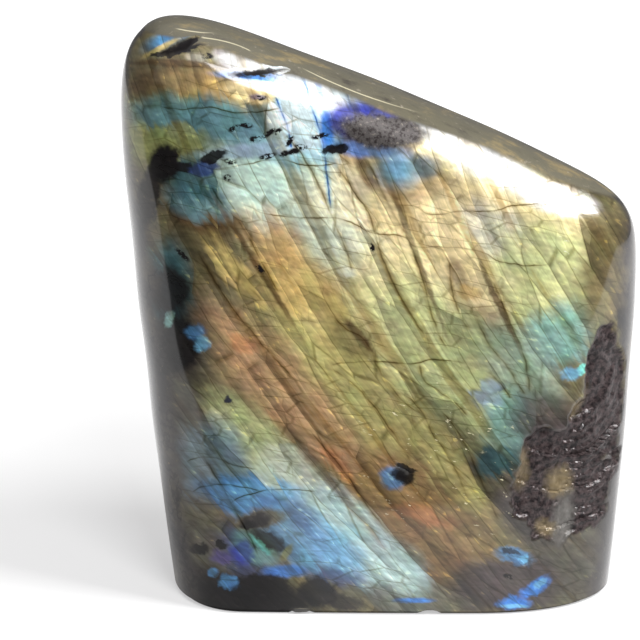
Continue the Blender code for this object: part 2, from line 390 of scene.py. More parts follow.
# ---- colours and pattern of the stone
# Red, green and blue, from 0 to 255
COLOURS = {
    "ground": (140, 132, 100),
    "orange": (172, 144, 98),
    "gold": (203, 168, 104),
    "yellow": (216, 192, 118),
    # cream, white and ice highlight also serve as painted highlight near the top; cream is also the stone's
    # own pale flash
    "cream": (252, 243, 205),
    "white": (255, 255, 255),
    "ice highlight": (232, 251, 255),
    "mint": (196, 222, 208),
    "milk": (205, 216, 196),
    "slate": (100, 142, 150),
    "teal": (122, 166, 158),
    "pine": (44, 84, 92),
    "moss": (136, 140, 88),
    "tan": (246, 224, 172),
    "peach": (214, 180, 138),
    "pearl": (206, 210, 200),
    "green": (192, 198, 142),
    "lime": (206, 197, 128),
    "olive": (104, 94, 62),
    "brown": (90, 69, 43),
    "copper": (182, 146, 108),
    "umber": (158, 128, 86),
    "rust": (200, 124, 76),
    "lavender": (150, 172, 190),
    "violet": (84, 74, 140),
    "indigo": (36, 44, 150),
    "blue": (82, 138, 188),
    "azure": (66, 138, 226),
    "sky": (118, 186, 226),
    "frost": (178, 204, 200),
    "steel": (112, 134, 142),
    "grey": (112, 110, 106),
    "earth": (86, 80, 68),
    "ochre": (146, 128, 88),
    "chalk": (178, 168, 152),
    "pebble": (78, 74, 73),
    "dusk": (84, 75, 74),
    "crust": (122, 108, 82),
    "broken": (72, 62, 62),
    "soot": (30, 26, 27),
    "corner": (92, 88, 74),
    "straw": (214, 204, 152),
    "sage": (168, 190, 166),
    "foam": (150, 204, 222),
    "aqua": (120, 226, 212),
    "night": (48, 66, 112),
    "shadow": (46, 41, 40),
    "navy": (22, 28, 62),
    "black": (20, 17, 18),
}

# Kinds of edge: pushed about by the plates, nearly smooth, or torn
BROAD, CALM, TORN = "broad", "calm", "torn"
SOFTNESS = 0.9

# Fields of flash on the front face, all with a broad edge, in pixels of the picture: (colour, x, y,
# half length, half width, degrees turned clockwise, share, and softness where it isn't the usual one)
FIELDS = (
    ("earth", 160, 330, 60, 230, 8, 1.0, 0.7),
    ("corner", 580, 500, 70, 120, 0, 1.0, 0.7),
    ("moss", 160, 128, 48, 40, 0, 0.9, 0.7),
    ("brown", 156, 78, 36, 14, 0, 0.6),
    ("orange", 196, 82, 44, 14, 6, 0.6),
    ("gold", 226, 96, 36, 15, 10, 0.7, 0.8),
    ("slate", 156, 112, 32, 18, 0, 0.8),
    ("slate", 212, 124, 58, 24, 5, 0.95, 0.8),
    ("tan", 450, 232, 170, 72, 20, 1.0, 0.7),
    ("mint", 286, 186, 84, 40, 10, 1.0, 0.6),
    ("milk", 330, 222, 64, 40, 62, 0.85, 0.8),
    # painted highlight: white-cyan flash near the top, lightened where the softbox glares
    ("ice highlight", 318, 98, 66, 34, 22, 1.0, 0.55),
    ("peach", 268, 232, 40, 20, 40, 0.5),
    ("gold", 356, 192, 44, 18, 66, 0.75, 0.8),
    ("olive", 186, 254, 50, 40, 50, 0.8, 0.8),
    ("brown", 200, 212, 48, 18, 24, 0.9, 0.8),
    ("pearl", 500, 236, 44, 20, 40, 0.7),
    ("green", 548, 282, 62, 52, 50, 0.85, 0.8),
    ("gold", 306, 300, 72, 34, 55, 0.7, 0.8),
    ("straw", 396, 300, 60, 44, 60, 0.75),
    ("lime", 352, 392, 120, 48, 52, 0.8, 0.8),
    ("green", 446, 360, 90, 46, 55, 0.8, 0.8),
    ("teal", 556, 336, 46, 28, -24, 0.9, 0.8),
    ("sage", 520, 366, 52, 34, 50, 0.8),
    ("teal", 508, 424, 34, 26, 66, 0.85),
    ("copper", 286, 394, 108, 32, 47, 0.85),
    ("umber", 422, 516, 92, 54, 46, 0.95, 0.8),
    ("olive", 470, 506, 74, 26, 46, 0.5),
    ("lime", 446, 462, 64, 18, 54, 0.6),
    ("frost", 330, 530, 122, 36, 38, 1.0, 0.7),
    ("green", 256, 440, 60, 22, 44, 0.75),
    ("milk", 292, 470, 36, 20, 36, 0.7),
    ("steel", 210, 462, 34, 46, 20, 0.9, 0.8),
    ("blue", 244, 500, 52, 20, 10, 0.95, 0.8),
    ("blue", 300, 540, 50, 26, 34, 0.7),
    ("sky", 336, 552, 36, 22, 30, 0.7),
    ("night", 338, 580, 26, 12, 10, 0.8),
    ("sky", 268, 494, 34, 10, 4, 0.6),
    ("night", 300, 522, 20, 12, 60, 0.5),
    ("night", 236, 556, 40, 26, 20, 0.8),
    ("corner", 440, 598, 130, 16, 0, 0.8, 0.8),
    ("corner", 196, 560, 30, 60, 0, 0.85, 0.8),
    ("frost", 404, 566, 30, 22, 60, 0.7, 0.8),
    ("dusk", 508, 584, 56, 30, 0, 0.95, 0.7),
    ("olive", 608, 256, 30, 96, 0, 0.95),
    ("dusk", 546, 424, 40, 34, 20, 0.8),
    ("dusk", 534, 500, 40, 44, 0, 0.75),
)

# Smaller marks laid over the fields, in the same form with the kind of edge before it
MARKS = (
    # painted highlight over the white-cyan flash
    (BROAD, "ice highlight", 330, 96, 50, 20, 22, 0.8),
    (BROAD, "cream", 342, 198, 26, 34, 70, 0.7),
    (BROAD, "slate", 196, 204, 36, 14, 12, 0.7),
    (BROAD, "gold", 296, 298, 26, 12, 55, 0.5),
    (BROAD, "olive", 352, 342, 26, 15, 50, 0.6),
    (BROAD, "copper", 342, 450, 28, 16, 50, 0.7),
    (CALM, "blue", 166, 38, 22, 8, -25, 1.0, 1.4),
    (CALM, "yellow", 160, 48, 19, 3, -27, 0.8),
    (TORN, "black", 187, 46, 15, 6, -25, 1.0, 0.3),
    (TORN, "black", 164, 54, 15, 3, -14, 0.9, 0.3),
    (CALM, "chalk", 194, 60, 10, 6, 10, 0.7, 0.8),
    (CALM, "brown", 178, 65, 46, 4, 4, 0.85, 0.8),
    # painted highlight: the pale blob, partly the stone's cream flash
    (CALM, "white", 242, 61, 26, 12, 12, 1.0, 0.8),
    (CALM, "azure", 264, 78, 44, 5, 4, 0.9),
    (TORN, "black", 262, 72, 22, 3, 2, 1.0, 0.3),
    (TORN, "navy", 233, 77, 9, 3, -8, 0.9, 0.4),
    (CALM, "tan", 250, 93, 26, 10, 10, 0.9, 0.5),
    (CALM, "violet", 256, 97, 9, 3, 5, 0.7),
    # painted highlight over the white-cyan flash
    (BROAD, "white", 312, 94, 46, 15, 22, 0.9, 0.8),
    (CALM, "azure", 316, 82, 22, 3, 70, 0.6),
    (BROAD, "moss", 172, 144, 38, 13, 0, 0.8, 0.6),
    (BROAD, "foam", 296, 146, 44, 18, 0, 0.8),
    (CALM, "lavender", 258, 150, 58, 7, -5, 0.8, 0.8),
    (BROAD, "pine", 192, 184, 36, 18, 20, 0.8, 0.8),
    (TORN, "black", 162, 164, 16, 18, 20, 1.0, 0.5),
    (TORN, "black", 184, 168, 14, 6, 10, 0.95, 0.5),
    (TORN, "night", 203, 169, 14, 9, -20, 0.95, 0.6),
    (TORN, "black", 211, 157, 15, 5, -15, 0.95, 0.4),
    (TORN, "black", 147, 198, 11, 30, 10, 0.9, 0.6),
    (BROAD, "pine", 164, 290, 26, 46, 8, 0.9),
    (TORN, "black", 168, 292, 22, 24, 20, 0.95, 0.6),
    (TORN, "black", 176, 344, 25, 32, -10, 0.95, 0.5),
    (TORN, "teal", 169, 321, 5, 8, 15, 0.9, 0.8),
    (TORN, "blue", 196, 333, 9, 9, 30, 0.7),
    (TORN, "sky", 203, 345, 8, 6, -20, 0.6),
    (BROAD, "yellow", 234, 272, 38, 11, 58, 0.8),
    (BROAD, "yellow", 258, 303, 14, 5, 52, 0.7),
    (BROAD, "rust", 243, 346, 12, 9, 40, 0.4),
    (BROAD, "rust", 342, 466, 24, 8, 55, 0.45),
    (TORN, "navy", 229, 400, 5, 3, 0, 0.9, 0.6),
    (CALM, "pearl", 346, 271, 9, 6, 30, 0.7, 0.8),
    (CALM, "brown", 364, 172, 20, 6, 62, 0.85),
    (BROAD, "brown", 456, 267, 17, 10, 60, 0.5, 0.8),
    (BROAD, "gold", 464, 286, 13, 8, 10, 0.7, 0.8),
    (CALM, "brown", 498, 302, 50, 3, 64, 0.8),
    (CALM, "brown", 412, 244, 94, 3, 69, 0.7),
    (CALM, "brown", 258, 268, 76, 3, 58, 0.8),
    (CALM, "brown", 358, 334, 24, 4, 50, 0.8),
    (CALM, "brown", 330, 480, 90, 4, 50, 0.6),
    (BROAD, "lavender", 484, 396, 18, 10, 12, 0.7, 0.7),
    (BROAD, "pine", 498, 462, 20, 15, 10, 0.85, 0.8),
    (TORN, "aqua", 582, 367, 5, 7, 10, 0.8, 0.7),
    (TORN, "sky", 571, 372, 9, 7, 0, 0.7),
    (TORN, "blue", 394, 477, 12, 12, 0, 0.8, 0.7),
    (TORN, "black", 407, 475, 10, 9, 10, 0.95, 0.5),
    (TORN, "black", 407, 467, 12, 3, 10, 0.9, 0.4),
    (BROAD, "brown", 424, 540, 70, 24, 40, 0.4),
    (BROAD, "rust", 424, 514, 30, 9, 15, 0.4),
    (CALM, "azure", 286, 572, 22, 7, -3, 0.8, 0.8),
    (CALM, "teal", 258, 548, 26, 16, 34, 0.8, 0.7),
    (TORN, "indigo", 244, 553, 12, 13, 20, 0.7),
    (TORN, "violet", 222, 558, 10, 8, 0, 0.6),
    (TORN, "olive", 262, 520, 26, 10, -10, 0.9, 0.7),
    (TORN, "black", 270, 541, 20, 8, 28, 0.9, 0.6),
    (TORN, "shadow", 256, 522, 16, 8, -12, 0.95, 0.6),
    (TORN, "black", 251, 526, 8, 5, 0, 0.95, 0.5),
    (CALM, "moss", 288, 553, 9, 4, -50, 0.8),
    (TORN, "aqua", 262, 546, 14, 3, 40, 0.6),
    (CALM, "shadow", 210, 596, 96, 32, 8, 0.9, 0.6),
    (TORN, "black", 236, 603, 86, 26, 3, 0.95, 0.4),
    (TORN, "black", 262, 590, 34, 15, -4, 0.95, 0.4),
    (TORN, "black", 320, 592, 21, 16, 6, 0.95, 0.4),
    (TORN, "shadow", 344, 602, 26, 7, 12, 0.8, 0.6),
    (TORN, "black", 200, 550, 11, 5, -6, 0.9, 0.5),
    (TORN, "black", 224, 545, 7, 4, 0, 0.9, 0.5),
    (TORN, "blue", 230, 583, 9, 7, 20, 0.8, 0.8),
    (TORN, "blue", 214, 573, 5, 5, 0, 0.7, 0.8),
    (CALM, "azure", 416, 600, 18, 3, 0, 0.8),
    (TORN, "blue", 516, 555, 18, 7, 10, 0.8, 0.8),
    (TORN, "sky", 526, 557, 5, 4, 0, 0.9, 0.8),
    (TORN, "black", 512, 552, 9, 3, 10, 0.8, 0.5),
    (TORN, "azure", 537, 584, 17, 7, -32, 0.9, 0.8),
    (TORN, "azure", 516, 601, 17, 6, 0, 0.9, 0.8),
    (CALM, "sky", 516, 605, 14, 2, 2, 0.9),
    (TORN, "sky", 542, 580, 8, 3, -32, 0.8),
    # painted highlight over the white-cyan flash
    (BROAD, "ice highlight", 302, 118, 26, 30, -10, 0.8),
    (CALM, "azure", 325, 130, 7, 20, -6, 0.95, 0.8),
    (CALM, "indigo", 352, 122, 28, 19, 8, 0.95, 0.7),
    (CALM, "indigo", 390, 114, 42, 12, 17, 0.9, 0.7),
    (CALM, "azure", 424, 121, 15, 7, 24, 0.8),
    (CALM, "azure", 366, 149, 36, 8, 6, 0.8),
    (TORN, "black", 334, 148, 14, 4, -10, 0.95, 0.4),
    (CALM, "umber", 404, 178, 44, 25, -6, 0.6),
    (CALM, "sky", 396, 169, 20, 16, 0, 0.85, 1.4),
    (CALM, "steel", 424, 166, 16, 12, 0, 0.8, 1.0),
    # painted highlight along the upper right: partly the stone's flash, partly the glare of the right
    # softbox, which the coat also reflects
    (CALM, "cream", 482, 162, 74, 20, 27, 0.9),
    (CALM, "white", 484, 160, 68, 15, 27, 1.0, 0.7),
    (CALM, "white", 556, 197, 38, 14, 12, 1.0, 0.7),
)
PEBBLE = (TORN, "pebble", 382, 131, 47, 17, 4, 1.0, 0.6)

# Where the polish is duller, where painted glints fleck the face, and crusts in the rough hollow, in the
# same form
DULL = (
    (TORN, "pebble", 386, 126, 66, 27, 8, 1.0, 0.4),
    (TORN, "shadow", 196, 560, 120, 70, 30, 0.7),
)
PAINTED_GLINT_ZONES = (
    (CALM, "cream", 440, 450, 100, 80, 45, 0.8, 0.8),
    (CALM, "white", 562, 250, 26, 40, 0, 0.8, 0.8),
)
CRUSTS = (
    (TORN, "crust", 566, 403, 24, 12, -40, 0.8, 1.0),
    (TORN, "crust", 521, 466, 9, 20, 0, 0.6, 1.0),
    (TORN, "crust", 560, 480, 13, 15, 30, 0.9, 1.0),
    (TORN, "grey", 564, 520, 10, 30, 6, 0.7, 1.0),
    (TORN, "crust", 548, 526, 10, 9, 0, 0.7, 1.0),
)

# Tints of the parts without fields: (colour, and the span of a noise over which it takes over)
BACK_BANDS = (("teal", 0.36, 0.42), ("mint", 0.43, 0.47), ("green", 0.48, 0.52), ("gold", 0.54, 0.58),
              ("copper", 0.60, 0.64))
SIDE_CLOUD_TINTS = (("shadow", 0.30, 0.54), ("earth", 0.50, 0.72, 0.0, 0.6))
SIDE_GRIT_TINTS = (("ochre", 0.64, 0.76, 0.0, 0.4),)
TOP_CLOUD_TINTS = (("corner", 0.20, 0.46), ("ochre", 0.50, 0.70, 0.0, 0.7))
TOP_GRIT_TINTS = (("chalk", 0.60, 0.80, 0.0, 0.4),)
PEBBLE_TINTS = (("pebble", 0.36, 0.52), ("chalk", 0.58, 0.80, 0.0, 0.5))
BROKEN_TINTS = (("broken", 0.36, 0.64),)

# Thin bright lines painted along the top as highlights: points in the picture
HIGHLIGHT_LINES = (
    ((172, 29), (198, 33), (217, 34), (241, 41), (258, 50)),
    ((198, 38), (227, 43), (250, 52)),
    ((298, 67), (339, 86), (380, 101), (430, 115)),
    ((300, 60), (350, 80), (400, 101), (440, 117)),
)

# Little black slots and specks: (x, y, length, turn)
SPECKS = (
    (233, 129, 4, -20), (245, 126, 5, 8), (254, 139, 5, -10), (267, 134, 6, -30), (277, 132, 2, -40),
    (266, 156, 7, -14), (289, 142, 4, -50), (293, 152, 5, -10), (283, 154, 3, -10), (229, 162, 4, 12),
    (318, 136, 7, -10), (300, 147, 4, 5), (258, 98, 4, -6), (205, 57, 4, 0), (226, 178, 2, 30),
    (260, 270, 4, 40), (182, 256, 7, 42), (371, 247, 3, 60), (510, 575, 4, 10),
)

# Listed cracks: points in the picture from one end to the other
CRACKS = (
    ((233, 201), (250, 208), (268, 215), (308, 218), (335, 218), (375, 233), (403, 236), (415, 246),
     (441, 246), (468, 248), (484, 252), (498, 260), (528, 264), (553, 262)),
    ((389, 205), (409, 205), (433, 214), (460, 210), (488, 210), (516, 204), (540, 203), (582, 220)),
    ((330, 365), (350, 362), (375, 361), (415, 363), (433, 359), (468, 363)),
    ((157, 105), (177, 110), (205, 108), (240, 113), (282, 107)),
    ((192, 494), (215, 486), (240, 487), (262, 492)),
    ((186, 463), (210, 458), (236, 466), (258, 470)),
    ((212, 170), (240, 166), (275, 160), (310, 166), (338, 162)),
    ((230, 505), (262, 492), (290, 490), (318, 492)),
)
# The same, for cracks that run more down than across
STEEP_CRACKS = (
    ((364, 155), (379, 187), (389, 207), (405, 234), (413, 252), (421, 274), (435, 324), (450, 353)),
    ((334, 163), (352, 190), (370, 218), (377, 244), (389, 274), (409, 311), (433, 346)),
    ((280, 130), (310, 170), (330, 214), (346, 250), (352, 275)),
    ((209, 184), (222, 206), (240, 225), (262, 264), (280, 295)),
    ((476, 258), (495, 286), (506, 312), (516, 334), (525, 358), (530, 394)),
    ((476, 315), (485, 336), (497, 353), (509, 367), (519, 384), (528, 396)),
    ((330, 312), (347, 329), (361, 337), (371, 350), (378, 367), (392, 387), (406, 403), (426, 415)),
    ((420, 363), (426, 381), (437, 389), (457, 403), (468, 415)),
    ((399, 391), (420, 408), (433, 432), (451, 458), (470, 500)),
    ((440, 408), (457, 429), (468, 448), (482, 479), (500, 520)),
    ((488, 370), (506, 389), (511, 398)),
    ((196, 250), (216, 284), (240, 318), (280, 364), (300, 385)),
    ((310, 430), (344, 470), (380, 520), (420, 560)),
    ((330, 367), (364, 394), (388, 424), (412, 462)),
    ((200, 450), (230, 500), (262, 560)),
    ((449, 260), (452, 291), (470, 330)),
)
BLUE_CRACKS = (
    ((299, 64), (306, 92), (314, 118), (322, 144), (326, 180), (331, 214)),
    ((274, 96), (280, 112), (286, 126), (290, 150)),
    ((340, 80), (346, 96), (350, 108)),
)
BROWN_TINTS = ((0.46, 0.34, 0.16, 1.0), (0.28, 0.24, 0.14, 1.0))
BLUE_TINTS = ((0.30, 0.60, 1.0, 1.0), (0.10, 0.22, 0.50, 1.0))
# Each kind: cracks, whether they run down, widths of the soft band and the thin line in mm, shares, tints
CRACK_KINDS = (
    (CRACKS, False, (0.5, 0.2), (0.3, 1.0), BROWN_TINTS),
    (STEEP_CRACKS, True, (0.95, 0.3), (0.55, 0.75), BROWN_TINTS),
    (BLUE_CRACKS, True, (0.9, 0.3), (0.6, 1.0), BLUE_TINTS),
)

# Noises: (size of the features in mm, detail, roughness, place in the pattern)
NOISES = {
    "hue": (4.2, 3.0, 0.6, 51.0),
    "nets": (11.0, 2.0, 0.5, 27.0),
    "crack breaks": (5.0, 2.0, 0.5, 33.0),
    "speck breaks": (0.9, 3.0, 0.7, 37.0),
    "pebbles": (0.8, 3.0, 0.6, 71.0),
    "glint patches": (5.0, 2.0, 0.5, 23.0),
    "side clouds": (9.0, 4.0, 0.6),
    "side grit": (1.1, 3.0, 0.7, 5.0),
    "side veins": (12.0, 5.0, 0.55, 9.0),
    "top clouds": (1.0, 5.0, 0.65),
    "top grit": (1.4, 3.0, 0.6, 4.0),
    "broken": (1.0, 4.0, 0.7, 2.0),
    "back clouds": (24.0, 5.0, 0.62, 91.0),
    "back veins": (13.0, 4.0, 0.6, 95.0),
    "face edge": (6.0, 3.0, 0.5, 3.0),
    "grit": (1.6, 4.0, 0.5, 6.0),
    "sparkle": (0.45, 2.0, 0.7, 16.0),
}
TOP_SCALES = (0.10, 0.22, 0.16)
BACK_CLOUD_SCALES = (1.0, 1.0, 0.7)
# Noises drawn out along the cleavage: (scales across and along it, detail, roughness, place in the pattern)
STREAKS = {
    "brown": ((0.24, 0.018), 3.0, 0.55),
    "strand": ((1.0, 0.05), 3.0, 0.6, 11.0),
    "glint": ((0.45, 1.2), 3.0, 0.7, 41.0),
    "back": ((0.034, 0.012), 5.0, 0.55, 3.3),
}
CLEAVAGE_SLOPE, CLEAVAGE_BEND = 0.936, -0.00288
CROSS_SLOPE = 0.14
# Wrinkles whose emboss paints light and shade: scales across and along, the step between two samples, detail
# and roughness
WRINKLE_SCALES, WRINKLE_STEP, WRINKLES = (0.26, 0.42), 0.24, (2.4, 0.6)
# Cleavage plates: (width and length in mm, place in the pattern), and how they tilt and step; the tilt
# paints light on one side of each plate and shade on the other, the step gives each its own tone
Plates = namedtuple("Plates", "cell slope edge")
COARSE_PLATES = (4.2, 15.0)
FINE_PLATES = (1.7, 4.4, 3.7)
LEVEL_PLATES = (2.4, 8.0, 7.1)
PLATE_RANDOMNESS = 0.75
PLATE_SHADE_TILT = ((1.6, 1.0, 0.0), (-0.4, -0.5, 0.0))
PLATE_STEP = 0.6
# How far plates and strands carry the edges of broad fields with them, in mm
COARSE_REACH, FINE_REACH = 2.2, 0.9
STRAND_REACH = (1.17, -2.21)
# Warps: (size, reach, detail) of each noise that pushes a place about, in mm
WARP_SHIFT = 31.0
CLEAVAGE_WARP = ((12.0, 0.8, 2.0), (2.2, 0.11, 2.0))
CRACK_WARP = ((2.4, 0.32, 3.0),)
EDGE_WARPS = {
    BROAD: ((15.0, 1.6, 2.0), (3.6, 1.1, 3.0)),
    TORN: ((4.0, 1.6, 4.0), (1.1, 0.7, 3.0)),
    CALM: ((6.0, 0.5, 2.0), (1.4, 0.35, 3.0)),
}
# Spans: where a value starts and ends to count, and what it counts there if not 0 and 1
SPANS = {
    # painted light and shade of the plates and wrinkles, and the strands' tone
    "coarse shade": (-0.20, 0.80, 0.62, 1.32),
    "fine shade": (-0.20, 0.80, 0.82, 1.16),
    "wrinkle shade": (-0.15, 0.15, 0.82, 1.18),
    "strand shade": (0.30, 0.70, 0.86, 1.12),
    "streaks": (0.44, 0.30, 0.0, 0.6),
    # painted shade lower down on the face: heights in mm
    "painted low shade": (66.0, 20.0),
    # painted highlights on the lit sides of plates and wrinkles
    "bright plates": (0.50, 0.75),
    "bright wrinkles": (0.06, 0.16),
    "whole cracks": (0.36, 0.58, 0.35, 1.0),
    "whole specks": (0.40, 0.50),
    "glints": (0.66, 0.74),
    "glint patches": (0.50, 0.60),
    "back clouds": (0.40, 0.56),
    "high up": (66.0, 92.0, 0.0, 0.22),
    "top": (0.71, 0.79),
    "broad": (0.80, 0.50),
    "front": (-0.15, -0.40),
    "back": (0.15, 0.40),
    "highlight lines": (-0.30, -0.45, 0.0, 0.4),
}
# Nets of fine cracks: widths of the line and its core, and where and how strongly it shows
COARSE_NET = ((0.05, 0.005), (0.42, 0.60, 0.1, 0.6))
FINE_NET = ((0.06, 0.006), (0.58, 0.44, 0.0, 0.25))
LEVEL_NET = ((0.07, 0.008), (0.56, 0.40, 0.0, 0.5))
LINE_CORE = 0.2  # share of a line's width that is fully dark
TAPER = 0.08  # share of a line's length over which each end fades
HIGHLIGHT_LINE_WIDTH = 0.17
SPECK_ENDS, SPECK_HALF_WIDTH = 2.0, 2.8
# Tints that a colour is multiplied by
STREAK_TINT = (0.50, 0.38, 0.20, 1.0)
# painted shade: the front face darkened towards the base, where less light falls
LOW_SHADE_TINT = (0.74, 0.74, 0.76, 1.0)
CRACK_TINT = (0.30, 0.27, 0.14, 1.0)
MID_GREY = (0.5, 0.5, 0.5, 1.0)
HUE_RANGE, HUE_SHARE = 0.8, 0.22
PAINTED_HIGHLIGHT_SHARE = 0.9
LEVEL_SLOPE = 0.2
SIDE_VEIN_WIDTH, BACK_VEIN_WIDTH, VEIN_SHARE = 0.02, 0.014, 0.6
FACE_EDGE = 0.4  # unevenness of the line between the face and the sides
PIT_SLANT = 0.5
CHIP_SHARE, PIT_SHARE = 0.3, 0.9
# Grain of the surface, and its gloss
SPARKLE = 0.25
GRIT_ROUGH, GRIT_POLISHED, PLATE_RELIEF = 0.30, 0.02, 0.05
ROUGHNESS, BROKEN_ROUGHNESS, POLISH_ROUGHNESS = 0.42, 0.28, 0.085
CRACK_DULLNESS, BROKEN_DULLNESS = 0.85, 0.8
FLASH_METALLIC, SPECULAR = 0.25, 0.15
BATCH = 16  # fields whose places are worked out together
HARDLY = 1e-7


def linear(name):
    """A colour of the palette as the shader takes it."""
    channels = [channel / 255.0 for channel in COLOURS[name]]
    return [c / 12.92 if c <= 0.04045 else ((c + 0.055) / 1.055) ** 2.4 for c in channels] + [1.0]


# ---- shader helpers
class Paint:
    """Adds nodes to the node tree of a material or world."""

    def __init__(self, owner, picture=None):
        owner.use_nodes = True
        owner.node_tree.nodes.clear()
        self.tree = owner.node_tree
        self.picture = picture

    def add(self, kind, sockets, **settings):
        """One node, with its inputs given as values or as the outputs of other nodes."""
        node = self.tree.nodes.new(kind)
        for name, value in settings.items():
            setattr(node, name, value)
        for socket, value in sockets.items():
            if isinstance(value, bpy.types.NodeSocket):
                self.tree.links.new(value, node.inputs[socket])
            else:
                node.inputs[socket].default_value = value
        return node

    def maths(self, operation, *values, clamp=False):
        sockets = dict(enumerate(values))
        return self.add("ShaderNodeMath", sockets, operation=operation, use_clamp=clamp).outputs[0]

    def times(self, first, second):
        return self.maths("MULTIPLY", first, second)

    def plus(self, first, second):
        return self.maths("ADD", first, second)

    def minus(self, first, second):
        return self.maths("SUBTRACT", first, second)

    def times_plus(self, first, second, third):
        return self.maths("MULTIPLY_ADD", first, second, third)

    def vector(self, operation, *values):
        node = self.add("ShaderNodeVectorMath", dict(enumerate(values)), operation=operation)
        return node.outputs["Value" if operation in ("LENGTH", "DOT_PRODUCT") else "Vector"]

    def scaled(self, vector, scale):
        return self.add("ShaderNodeVectorMath", {0: vector, 3: scale}, operation="SCALE").outputs["Vector"]

    def place(self, x, y):
        return self.add("ShaderNodeCombineXYZ", {0: x, 1: y}).outputs[0]

    def parts(self, vector):
        return self.add("ShaderNodeSeparateXYZ", {0: vector}).outputs

    def ramp(self, value, low, high, to_low=0.0, to_high=1.0, kind="SMOOTHSTEP"):
        sockets = {0: value, 1: low, 2: high, 3: to_low, 4: to_high}
        return self.add("ShaderNodeMapRange", sockets, interpolation_type=kind).outputs[0]

    def span(self, value, name, kind="SMOOTHSTEP"):
        return self.ramp(value, *SPANS[name], kind=kind)

    def noise(self, vector, size, detail, roughness=0.5, shift=0.0, flat=False, colour=False):
        """Noise with features of one size; shift moves to another part of the pattern."""
        if shift:
            sockets = {0: vector, 1: (shift, shift * 0.7, shift * 0.3)}
            vector = self.add("ShaderNodeMapping", sockets, vector_type="POINT").outputs[0]
        sockets = {"Vector": vector, "Scale": 1.0 / size, "Detail": detail, "Roughness": roughness}
        node = self.add("ShaderNodeTexNoise", sockets, noise_dimensions="2D" if flat else "3D")
        return node.outputs[1 if colour else 0]

    def grain(self, vector, name):
        return self.noise(vector, *NOISES[name])

    def streaks(self, across, along, name):
        """Flat noise, drawn out along the cleavage."""
        scales, *settings = STREAKS[name]
        place = self.place(self.times(across, scales[0]), self.times(along, scales[1]))
        return self.noise(place, 1.0, *settings, flat=True)

    def mix(self, below, above, share, blend="MIX"):
        sockets = {0: share, 6: below, 7: above}
        return self.add("ShaderNodeMix", sockets, data_type="RGBA", blend_type=blend).outputs[2]

    def finish(self, kind, shader, sockets):
        shader = self.add(shader, sockets)
        self.add(kind, {0: shader.outputs[0]})


class Picture:
    """Finds where a pixel of the picture falls on the front of the stone."""

    def __init__(self, stone):
        shape = bmesh.new()
        shape.from_mesh(stone.data)
        self.tree = BVHTree.FromBMesh(shape)
        shape.free()
        self.forward, self.right, self.up = camera_axes()
        self.eye = CAMERA_TARGET - self.forward * CAMERA_DISTANCE

    def spot(self, pixel):
        """Place on the front face in mm: across, and up as seen from the camera's height."""
        ray = (self.forward * PICTURE_FOCUS + self.right * (pixel[0] - TARGET_PIXEL[0])
               + self.up * (TARGET_PIXEL[1] - pixel[1])).normalized()
        hit = self.tree.ray_cast(self.eye, ray)[0]
        if hit is None:
            hit = self.eye + ray * ((EDGE_Y - self.eye.y) / ray.y)
        return hit.x / MM, (hit.z * math.cos(CAMERA_ELEVATION) + hit.y * math.sin(CAMERA_ELEVATION)) / MM


def field_share(paint, vector, field):
    """How much a soft-edged oval covers."""
    _, _, x, y, half_length, half_width, turn, share, softness = (*field, SOFTNESS)[:9]
    sockets = {0: vector, 1: (*paint.picture.spot((x, y)), 0.0), 2: (0.0, 0.0, -math.radians(turn)),
               3: (half_length * PIXEL_MM, half_width * PIXEL_MM, 1.0)}
    local = paint.add("ShaderNodeMapping", sockets, vector_type="TEXTURE").outputs[0]
    return paint.ramp(paint.vector("LENGTH", local), 1.0 + softness / 2, 1.0 - softness / 2, 0.0, share)


def after(paint, vector, colour):
    """The same vector, worked out once the colour is, so that the renderer holds few values."""
    return paint.vector("MULTIPLY_ADD", colour, (HARDLY, HARDLY, HARDLY), vector)


def lay_fields(paint, colour, vectors, fields):
    """All the fields in turn over the colour, in batches."""
    for index, field in enumerate(fields):
        if index % BATCH == 0:
            vectors = {edge: after(paint, vector, colour) for edge, vector in vectors.items()}
        share = field_share(paint, vectors[field[0]], field)
        colour = paint.mix(colour, linear(field[1]), share)
    return colour


def curve_through(paint, share, points):
    """A smooth curve through points whose two numbers go from 0 to 1."""
    node = paint.add("ShaderNodeFloatCurve", {0: 1.0, 1: share})
    curve = node.mapping.curves[0]
    curve.points[0].location, curve.points[-1].location = points[0], points[-1]
    for point in points[1:-1]:
        curve.points.new(*point)
    node.mapping.update()
    return node.outputs[0]


def curved_lines(paint, flat, pixels, steep, widths):
    """Lines of some widths along a curve through the pixels, which run down where it is steep."""
    spots = [paint.picture.spot(pixel) for pixel in pixels]
    along, aside = paint.parts(flat)[:2]
    if steep:
        spots = [(v, x) for x, v in reversed(spots)]
        along, aside = aside, along
    starts, others = zip(*spots)
    low, high = min(starts), max(starts)
    floor, top = min(others) - 1.0, max(others) + 1.0
    share = paint.ramp(along, low, high, kind="LINEAR")
    points = [((start - low) / (high - low), (other - floor) / (top - floor)) for start, other in spots]
    path = paint.ramp(curve_through(paint, share, points), 0.0, 1.0, floor, top, kind="LINEAR")
    gap = paint.maths("ABSOLUTE", paint.minus(aside, path))
    ends = paint.ramp(paint.maths("PINGPONG", share, 0.5), 0.0, TAPER)
    return [paint.times(paint.ramp(gap, width, width * LINE_CORE), ends) for width in widths]


def tinted(paint, colour, value, tints):
    """Colours of the palette mixed in, each over its own span of one value."""
    for name, *span in tints:
        colour = paint.mix(colour, linear(name), paint.ramp(value, *span))
    return colour


def contour(paint, value, width):
    """Thin lines where a noise crosses its middle."""
    return paint.ramp(paint.maths("ABSOLUTE", paint.minus(value, 0.5)), width, width * LINE_CORE)


def shaded(paint, colour, shade):
    """The colour made darker or brighter, and never brighter than white."""
    return paint.vector("MINIMUM", paint.scaled(colour, shade), (1.0, 1.0, 1.0))


